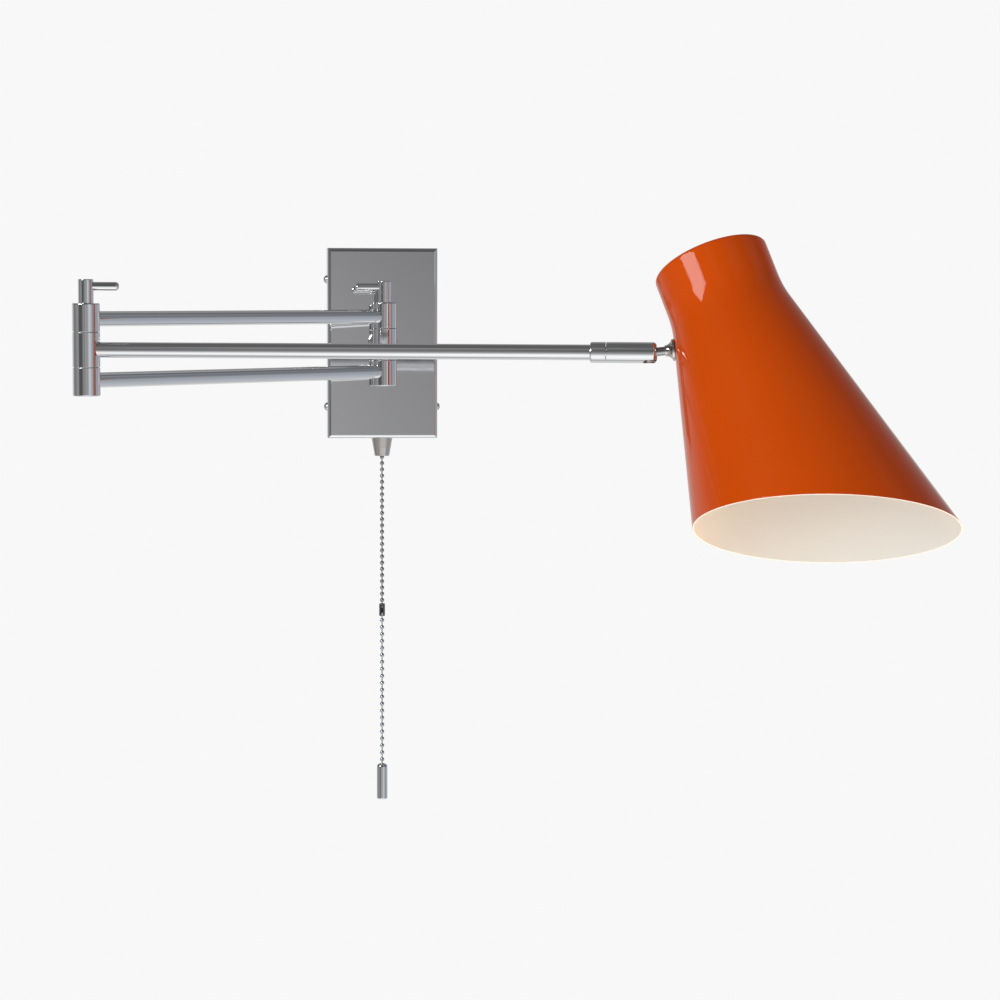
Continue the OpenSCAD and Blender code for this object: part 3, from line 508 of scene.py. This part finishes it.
def opal_finish(colour, second_colour, rough):
    """Opal bulb glass: mostly a white body that lets some light through, with a soft sheen."""
    material, tree, sockets = start_finish("opal_glass", IOR=1.5, Transmission_Weight=0.25,
                                           Subsurface_Weight=0.3, Subsurface_Radius=(0.004, 0.004, 0.004))
    feed(tree, sockets["Base Color"], drift(tree, colour, second_colour, per_metre=90, detail=2.0))
    feed(tree, sockets["Roughness"], spread(tree, noise(tree, per_metre=200, detail=2.0), *rough))
    return material


white_plastic = moulded_finish("white_moulding", (0.80, 0.79, 0.76), (0.76, 0.75, 0.71),
                               rough=(0.25, 0.36), grain=0.00001)
pale_plastic = moulded_finish("bearing_moulding", (0.40, 0.39, 0.37), (0.35, 0.34, 0.32),
                              rough=(0.4, 0.55), grain=0.00002)
black_plastic = moulded_finish("black_moulding", (0.018, 0.018, 0.02), (0.028, 0.028, 0.03),
                               rough=(0.38, 0.5), grain=0.00003)
opal = opal_finish((0.90, 0.885, 0.85), (0.86, 0.845, 0.81), rough=(0.18, 0.28))
print("three plastics and opal glass")

# %% [markdown]
# ## Enamel
# The shade is sprayed orange outside and cream inside, and both coats are glossy. A gloss coat over a
# coloured base gives the hard window patch and keeps the orange deep. The sprayed skin is a bump far
# shallower than a hair.

# %% Enamel
# The skin is coarse waves with finer ones on top, which have this share of their depth.
fine_skin_share = 0.12


def enamel_finish(name, colour, second_colour, rough, skin, shine):
    """Sprayed gloss paint: colour drifts slightly, the skin is a ripple of a depth in metres."""
    material, tree, sockets = start_finish(name, IOR=1.5, Specular_IOR_Level=shine)
    feed(tree, sockets["Base Color"], drift(tree, colour, second_colour, per_metre=14, detail=3.0))
    feed(tree, sockets["Roughness"], spread(tree, noise(tree, per_metre=70, detail=3.0), *rough))
    coarse = bump(tree, noise(tree, per_metre=110, detail=1.0), skin)
    fine = bump(tree, noise(tree, per_metre=700, detail=2.0), skin * fine_skin_share, after=coarse)
    feed(tree, sockets["Normal"], fine)
    return material


orange = enamel_finish("orange_enamel", (0.61, 0.069, 0.002), (0.59, 0.065, 0.0015),
                       rough=(0.05, 0.09), skin=0.000006, shine=0.2)
cream = enamel_finish("cream_enamel", (0.83, 0.815, 0.79), (0.815, 0.80, 0.775),
                      rough=(0.30, 0.42), skin=0.00001, shine=0.4)
print("orange and cream enamel")

# %% [markdown]
# ## Dress the CAD nodes
# A CAD node comes with a material slot whose name says what it is made of, and takes the finish of that
# name. A few pieces don't look like the rest of their kind in the picture: the cover leans its mirror image,
# the lower chain is paler and the coupling darker than the beads above, the nozzle's tip and the washer on
# the shade are polished, and the ball's stem takes the darker bead nickel as painted shade, for the shadow
# that the socket and the shade throw on it.

# %% Give every CAD node its finish
finish_of_slot = {
    "chrome_plate": chrome, "bead_chain": nickel, "zinc_steel": zinc, "orange_enamel": orange,
    "white_plastic": white_plastic, "bearing_plastic": pale_plastic, "black_plastic": black_plastic,
    "bulb_glass": opal, "satin_nickel": satin,
}
finish_of_node = {
    "wall_cover": cover_chrome, "chain_lower": steel, "chain_coupling": dark_nickel,
    # The ball's stem is darkened with the bead nickel: painted shade for the shadow of the socket and the
    # shade on it.
    "nozzle_tip": polished, "cone_washer": polished, "ball_stem": nickel,
}


def dress(node, material):
    """Every slot of a CAD node takes the material."""
    for slot in node.material_slots:
        slot.material = material


for name, node in nodes.items():
    by_slot = finish_of_slot[node.material_slots[0].material.name]
    dress(node, finish_of_node.get(name, by_slot))

print("dressed", len(nodes), "nodes,", len(finish_of_node), "of them unlike their slot")

# %% [markdown]
# ## Surfaces from arrays
# A surface is a grid of points: one number runs along a profile and the other round an axis. The whole grid
# is one array, so no loop goes over its points. Welding joins the seam and the poles.

# %% Helpers for surfaces


def round_angles(columns):
    """Angles once round an axis, the last on top of the first."""
    return np.linspace(0, 2 * pi, columns + 1)


def round_axis(radius, height, columns):
    """Points round the Z axis: radius and height are one number for each row, or one for each point."""
    around = round_angles(columns)
    return np.stack([radius * np.cos(around), radius * np.sin(around), height + 0 * around], axis=-1)


def turned(profile, columns):
    """Points of a profile of (radius, height) rows turned round the Z axis."""
    return round_axis(profile[:, :1], profile[:, 1:], columns)


def arc(centre, radius, start, end, count):
    """Points of a circle in the plane of (distance out, distance along) between two angles in degrees."""
    a = np.radians(np.linspace(start, end, count))
    return np.stack([centre[0] + radius * np.cos(a), centre[1] + radius * np.sin(a)], axis=-1)


print("profile helpers ready")

# %% From a grid to a piece


def grid_faces(rows, columns):
    """Quads of a grid of points: each takes a point, the next in its row, and the two below them."""
    corner = np.arange(rows * columns).reshape(rows, columns)
    faces = np.stack([corner[:-1, :-1], corner[:-1, 1:], corner[1:, 1:], corner[1:, :-1]], axis=-1)
    return faces.reshape(-1, 4)


def add_surface(name, grid, place, materials, is_second=None, sharp_over=35.0):
    """A smooth mesh object from a grid of points in the piece's own frame, which place puts in the light.

    Points that meet are welded and faces turned outwards. is_second says which rows of faces take the second
    material, and an edge is sharp over an angle in degrees."""
    points = grid @ place[:3, :3].T + place[:3, 3]
    mesh = bpy.data.meshes.new(name)
    mesh.from_pydata(points.reshape(-1, 3).tolist(), [], grid_faces(*grid.shape[:2]).tolist())
    for material in materials:
        mesh.materials.append(material)
    if is_second is not None:
        of_face = np.repeat(is_second, grid.shape[1] - 1).astype(np.int32)
        mesh.polygons.foreach_set("material_index", of_face)
    edit = bmesh.new()
    edit.from_mesh(mesh)
    bmesh.ops.remove_doubles(edit, verts=edit.verts, dist=1e-7)
    bmesh.ops.recalc_face_normals(edit, faces=edit.faces)
    edit.to_mesh(mesh)
    edit.free()
    mesh.polygons.foreach_set("use_smooth", np.ones(len(mesh.polygons), bool))
    mesh.set_sharp_from_angle(angle=radians(sharp_over))
    piece = bpy.data.objects.new(name, mesh)
    scene.collection.objects.link(piece)
    print(f"{name}: {len(mesh.vertices)} points, {len(mesh.polygons)} faces")
    return piece


print("surface helpers ready")

# %% Helpers for cuts


def cut_away(piece, cutter_edit):
    """Takes a bmesh solid out of a piece with a Boolean modifier that is applied."""
    cutter_mesh = bpy.data.meshes.new("cutter")
    cutter_edit.to_mesh(cutter_mesh)
    cutter_edit.free()
    cutter = bpy.data.objects.new("cutter", cutter_mesh)
    scene.collection.objects.link(cutter)
    modifier = piece.modifiers.new("cut", "BOOLEAN")
    modifier.object = cutter
    modifier.operation = "DIFFERENCE"
    modifier.solver = "EXACT"
    cut = piece.evaluated_get(bpy.context.evaluated_depsgraph_get())
    old = piece.data
    piece.data = bpy.data.meshes.new_from_object(cut)
    piece.modifiers.clear()
    bpy.data.meshes.remove(old)
    bpy.data.objects.remove(cutter)


def round_pin(centre, axis, radius, length, sides=48):
    """A bmesh cylinder about an axis, to be cut out of a piece."""
    edit = bmesh.new()
    turn = Vector(axis).to_track_quat("Z", "Y").to_matrix().to_4x4()
    bmesh.ops.create_cone(edit, cap_ends=True, segments=sides, radius1=radius, radius2=radius, depth=length,
                          matrix=Matrix.Translation(centre) @ turn)
    return edit


print("cutting helpers ready")

# %% [markdown]
# ## The shade
# On the real light the shade is one spun sheet: a closed top with a rounded edge, a short straight neck, a
# flare and a long cone, cut off obliquely at the mouth. It replaces the CAD shade because it needs two
# paints: orange outside, cream inside, meeting at the cut edge. Its sizes are the CAD's, and its axes come
# from the joints: the stem's axis and the tilting axis.

# %% Place of the shade
top_radius, top_edge = 37.5 * MM, 2.0 * MM
neck_length = 24 * MM
flare_radius = 75 * MM
cone_slope = radians(14.25)
axis_length = 190 * MM
mouth_slope = radians(20.5)
sheet = 1.0 * MM
# Where the stem holds the shade: below its top, and out from the ball
grip_drop, stem_reach = 48 * MM, 16.7 * MM
stem_radius, stem_hole_length = 2.85 * MM, 6 * MM
cone_start = neck_length + flare_radius * sin(cone_slope)
cone_start_radius = top_radius + flare_radius * (1 - cos(cone_slope))
grip_radius = cone_start_radius + (grip_drop - cone_start) * tan(cone_slope)


def joint(name):
    """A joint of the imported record, by name."""
    return next(j for j in frame["joints"] if j["name"] == name)


stem_axis = Vector(joint("shade_turn")["axis"]).normalized()
ball_place = Vector(joint("shade_turn")["pos_m"])


def shade_frame():
    """4x4 matrix of the shade: its middle top at the origin, its axis down -Z, its long side towards +X."""
    across = Vector(joint("shade_tilt")["axis"]).normalized()
    upright = stem_axis.cross(across)
    stem = Matrix.Translation(ball_place) @ Matrix((stem_axis, across, upright)).transposed().to_4x4()
    lean = Matrix.Rotation(-cone_slope, 4, "Y")
    grip = Matrix.Translation((stem_reach, 0, 0))
    return stem @ grip @ lean @ Matrix.Translation((grip_radius, 0, grip_drop))


shade_place = np.array(shade_frame())
print("top of the shade at", shade_place[:3, 3].round(4))

# %% Profile of the shade
# Rows of points on each stretch, and where those of the neck lie, clear of its ends
top_rows, edge_rows, neck_rows, flare_rows, cone_rows = 8, 9, 3, 17, 40
neck_from, neck_to = 4 * MM, neck_length - 1 * MM
# The last row but one, close to the cut, keeps the shading straight up to the rim.
holding_row = 0.998


def wall_profile(inset):
    """Rows of (radius, distance below the top) from the middle of the top to the start of the cone.

    The neck is a cylinder, the flare an arc whose centre lies outside it, and the top edge a quarter circle.
    The inner face is the same profile drawn in by the sheet."""
    flat_radius = np.linspace(0, top_radius - top_edge, top_rows + 1)[:-1]
    flat = np.stack([flat_radius, np.full(top_rows, inset)], axis=-1)
    corner = arc((top_radius - top_edge, top_edge), top_edge - inset, -90, 0, edge_rows)
    neck_depth = np.linspace(neck_from, neck_to, neck_rows)
    neck = np.stack([np.full(neck_rows, top_radius - inset), neck_depth], axis=-1)
    centre = (top_radius + flare_radius, neck_length)
    flare = arc(centre, flare_radius + inset, 180, 180 - degrees(cone_slope), flare_rows)
    return np.concatenate([flat, corner, neck, flare])


def shade_grid(inset, columns, rim):
    """Points of one face of the shade: the profile turned round the axis, then the cone down to the rim.

    On the cone the radius grows steadily, so the cut is where depth = length + radius cos(angle) tan(mouth).
    The face stops short of the cut by the rim's radius."""
    profile = wall_profile(inset)
    radius = np.repeat(profile[:, :1], columns + 1, axis=1)
    depth = np.repeat(profile[:, 1:], columns + 1, axis=1)
    last_radius, last_depth = profile[-1]
    lean = tan(cone_slope)
    slant = np.cos(round_angles(columns)) * tan(mouth_slope)
    end = (axis_length - rim + (last_radius - last_depth * lean) * slant) / (1 - lean * slant)
    share = np.append(np.linspace(0, 1, cone_rows + 1)[1:-1], [holding_row, 1])[:, None]
    cone_depth = last_depth + share * (end - last_depth)
    cone_radius = last_radius + (cone_depth - last_depth) * lean
    return round_axis(np.concatenate([radius, cone_radius]), -np.concatenate([depth, cone_depth]), columns)


print("profile of the shade:", len(wall_profile(0)), "rows before the cone")

# %% Build the shade


def rolled_rim(outer, inner, steps):
    """Rows of points that round the cut edge: half a circle from the outer wall to the inner one."""
    middle, half = (outer + inner) / 2, (outer - inner) / 2
    down = np.array([0, 0, -1.0]) * np.linalg.norm(half, axis=-1, keepdims=True)
    angle = np.linspace(0, pi, steps + 1)[1:-1, None, None]
    return middle + half * np.cos(angle) + down * np.sin(angle)


def build_shade(columns=192, rim_steps=8):
    """The spun sheet as one closed skin: outside, rounded cut edge, inside."""
    outside, inside = (shade_grid(inset, columns, sheet / 2) for inset in (0, sheet))
    rim = rolled_rim(outside[-1], inside[-1], rim_steps)
    grid = np.concatenate([outside, rim, inside[::-1]])
    is_inside = np.arange(len(grid) - 1) >= len(outside)
    return add_surface("shade_shell", grid, shade_place, [orange, cream], is_inside)


shade = build_shade()
stem_hole = ball_place + stem_axis * stem_reach
cut_away(shade, round_pin(stem_hole, stem_axis, stem_radius, stem_hole_length))
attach(shade, "head")
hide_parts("shade")
print("shade:", len(shade.data.polygons), "faces after its hole")

# %% [markdown]
# ## The lamp
# A screw-in lamp hangs in a moulded lampholder. Its glass is one smooth curve from the neck to the globe,
# which the CAD makes from a cone and a ball, so it is turned here again with a true blend. The metal cap
# gets its rolled thread, and the lampholder's skirt gets the grooves that fingers hold it by. All of them
# are turned profiles in the shade's own frame, and a thread is only a turned profile whose radius changes
# with the angle as well.

# %% Glass of the lamp
lamp_mouth = 73.5 * MM
lamp_place = shade_place @ np.array(Matrix.Translation((0, 0, -lamp_mouth)))
globe_radius, glass_length, glass_wall = 30 * MM, 80 * MM, 0.8 * MM
glass_neck_radius, join_latitude = 14 * MM, 28.0
# The curve of the neck ends below the lampholder's mouth, and the glass runs on to just under it.
curve_end, glass_end = -2 * MM, -0.2 * MM
globe_rows, glass_neck_rows, glass_columns = 40, 24, 96


def glass_profile(inset):
    """Rows of (radius, height) from the globe's pole up to the neck, drawn in by the wall.

    The globe is an arc. Above it a cubic leaves the globe along its slope and meets the neck upright: with t
    from 0 to 1, radius = a (2t3 - 3t2 + 1) + slope (t3 - 2t2 + t) + b (3t2 - 2t3)."""
    centre = globe_radius - glass_length
    globe = arc((0, centre), globe_radius - inset, -90, join_latitude, globe_rows)
    start_radius, start_height = globe[-1]
    end_radius = glass_neck_radius - inset
    t = np.linspace(0, 1, glass_neck_rows + 1)[1:]
    rise = curve_end - start_height
    slope = -rise * tan(radians(join_latitude))
    radius = (start_radius * (2 * t**3 - 3 * t**2 + 1) + slope * (t**3 - 2 * t**2 + t)
              + end_radius * (3 * t**2 - 2 * t**3))
    neck = np.stack([radius, start_height + rise * t], axis=-1)
    return np.concatenate([globe, neck, [[end_radius, glass_end]]])


glass_rows = np.concatenate([glass_profile(0), glass_profile(glass_wall)[::-1]])
glass = add_surface("lamp_glass", turned(glass_rows, glass_columns), lamp_place, [opal])
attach(glass, "head")
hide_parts("bulb_glass")

# %% Screw cap of the lamp
cap_radius, cap_foot_bevel, cap_shoulder = 13 * MM, 0.4 * MM, 2 * MM
thread_pitch, thread_depth, thread_from, thread_to = 3.6 * MM, 0.9 * MM, 1.5 * MM, 19 * MM
thread_rows = 110
# The thread fades in and out over this part of its length.
thread_fade = 1 / 12
# Above the shoulder, in millimetres: metal up to the first row, black insulator for three, then the contact
cap_top = np.array([[9.5, 21.0], [9.3, 21.3], [5.6, 24.0], [5.2, 24.2], [5.0, 24.8], [0, 25.0]]) * MM
insulator_rows = 3


def screw_cap(columns=72):
    """The rolled thread, the black insulator and the contact.

    On the thread, radius = cap radius - depth (1 - cos(2 pi height / pitch - angle)) / 2, faded out at both
    ends."""
    height = np.linspace(thread_from, thread_to, thread_rows)[:, None]
    share = (height - height[0]) / (height[-1] - height[0])
    fade = np.clip(share / thread_fade, 0, 1) * np.clip((1 - share) / thread_fade, 0, 1)
    wave = (1 - np.cos(2 * pi * height / thread_pitch - round_angles(columns))) / 2
    thread = round_axis(cap_radius - thread_depth * wave * fade, height, columns)
    foot = np.array([[0, 0], [cap_radius - cap_foot_bevel, 0], [cap_radius, cap_foot_bevel]])
    shoulder = arc((cap_radius - cap_shoulder, thread_to), cap_shoulder, 20, 90, 5)
    upper = np.concatenate([shoulder, cap_top])
    grid = np.concatenate([turned(foot, columns), thread, turned(upper, columns)])
    row = np.arange(len(grid) - 1)
    insulator_from = len(grid) - len(cap_top)
    is_black = (row >= insulator_from) & (row < insulator_from + insulator_rows)
    return add_surface("lamp_screw_cap", grid, lamp_place, [zinc, black_plastic], is_black)


cap = screw_cap()
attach(cap, "head")
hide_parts("bulb_cap")

# %% Lampholder
holder_radius, holder_height = 19 * MM, 48 * MM
crown_radius, skirt_height = 17 * MM, 32 * MM
crown_round, skirt_round, lip_round = 6 * MM, 1.5 * MM, 1 * MM
groove_count, groove_depth = 36, 0.5 * MM
groove_low, groove_high, groove_fade = 4 * MM, 28 * MM, 2 * MM
# Stretches of the profile, in millimetres: the nipple on top, the step to the skirt, the skirt's ends, the
# well for the cap with the wires' way above it
nipple = np.array([[3.5, 56.0], [4.7, 56.0], [5.0, 55.7], [5.0, 48.2], [5.4, 48.0], [10.4, 48.0]]) * MM
step = np.array([[17.0, 34.0], [17.2, 32.4], [17.5, 32.0]]) * MM
skirt_from, skirt_to, skirt_rows = 29.5, 1.6, 29
well = np.array(
    [[14.2, 0], [13.5, 0.3], [13.3, 1.0], [13.3, 24.8], [12.9, 25.4], [3.5, 25.4], [3.5, 56.0]]) * MM


def holder_profile():
    """Closed loop of (radius, height): down the outside, round the mouth, up the well and the wires' way."""
    crown = arc((crown_radius - crown_round, holder_height - crown_round), crown_round, 90, 0, 12)
    shoulder = arc((holder_radius - skirt_round, skirt_height - skirt_round), skirt_round, 90, 0, 6)
    skirt_heights = np.linspace(skirt_from, skirt_to, skirt_rows) * MM
    skirt = np.stack([np.full(skirt_rows, holder_radius), skirt_heights], axis=-1)
    lip = arc((holder_radius - lip_round, lip_round), lip_round, 0, -90, 6)
    return np.concatenate([nipple, crown, step, shoulder, skirt, lip, well])


def build_holder(columns=288):
    """The moulded lampholder: the skirt's radius loses depth (1 - cos(count angle)) / 2 in its grooves."""
    profile = holder_profile()
    radius, height = profile[:, :1], profile[:, 1:]
    on_skirt = np.abs(radius - holder_radius) < 0.01 * MM
    fade_in = np.clip((height - groove_low) / groove_fade, 0, 1)
    fade_out = np.clip((groove_high - height) / groove_fade, 0, 1)
    wave = (1 - np.cos(groove_count * round_angles(columns))) / 2
    grid = round_axis(radius - groove_depth * wave * fade_in * fade_out * on_skirt, height, columns)
    return add_surface("lamp_holder_shell", grid, lamp_place, [white_plastic], sharp_over=50)


holder = build_holder()
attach(holder, "head")
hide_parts("lampholder")

# %% [markdown]
# ## Side screws
# Three domed screws hold the cover to its bracket. A dome is an arc turned round the screw's axis, and the
# slot for the screwdriver is cut out of it, because a slot has hard edges that no turned profile can give.

# %% Side screws
head_radius, head_height = 3.2 * MM, 2.6 * MM
shank_radius, shank_length, shank_bevel = 1.5 * MM, 6 * MM, 0.5 * MM
slot_width, slot_depth = 0.8 * MM, 1.1 * MM
cover_half_width, screw_out, screw_up = 40.5 * MM, 12.5 * MM, 47 * MM
screw_corners = ((-1, 1), (-1, -1), (1, -1))
# Degrees that the first slot is turned by, and how much further each next one is
first_turn, next_turn = 25, 55
dome_radius = (head_radius**2 + head_height**2) / (2 * head_height)
dome_angle = degrees(np.arcsin(head_radius / dome_radius))


def screw_profile():
    """Rows of (radius, height) from the dome's pole to the shank's end."""
    dome = arc((0, head_height - dome_radius), dome_radius, 90, 90 - dome_angle, 14)
    shank = np.array([[shank_radius, 0], [shank_radius, shank_bevel - shank_length],
                      [shank_radius - shank_bevel, -shank_length], [0, -shank_length]])
    return np.concatenate([dome, shank])


def slot_cutter(place, turn):
    """A bmesh box for the slot, turned about the screw's axis; it sticks out at both ends and on top."""
    edit = bmesh.new()
    size = Matrix.Diagonal((3 * head_radius, slot_width, 2 * slot_depth, 1))
    lift = Matrix.Translation((0, 0, head_height))
    bmesh.ops.create_cube(edit, size=1, matrix=place @ Matrix.Rotation(turn, 4, "Z") @ lift @ size)
    return edit


def build_side_screws(columns=48):
    """The screws at three corners of the cover, each turned to where it happened to be tight."""
    for count, (side, up) in enumerate(screw_corners):
        place = Matrix.Translation((side * cover_half_width, -screw_out, up * screw_up))
        place = place @ Matrix.Rotation(side * pi / 2, 4, "Y")
        grid = turned(screw_profile(), columns)
        piece = add_surface(f"side_screw_{count + 1}", grid, np.array(place), [chrome])
        cut_away(piece, slot_cutter(place, radians(first_turn + next_turn * count)))
        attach(piece, "wall_mount")
        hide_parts("side_screws")


build_side_screws()
print(len(screw_corners), "side screws")

# %% [markdown]
# ## Finish

# %% Finish
import json
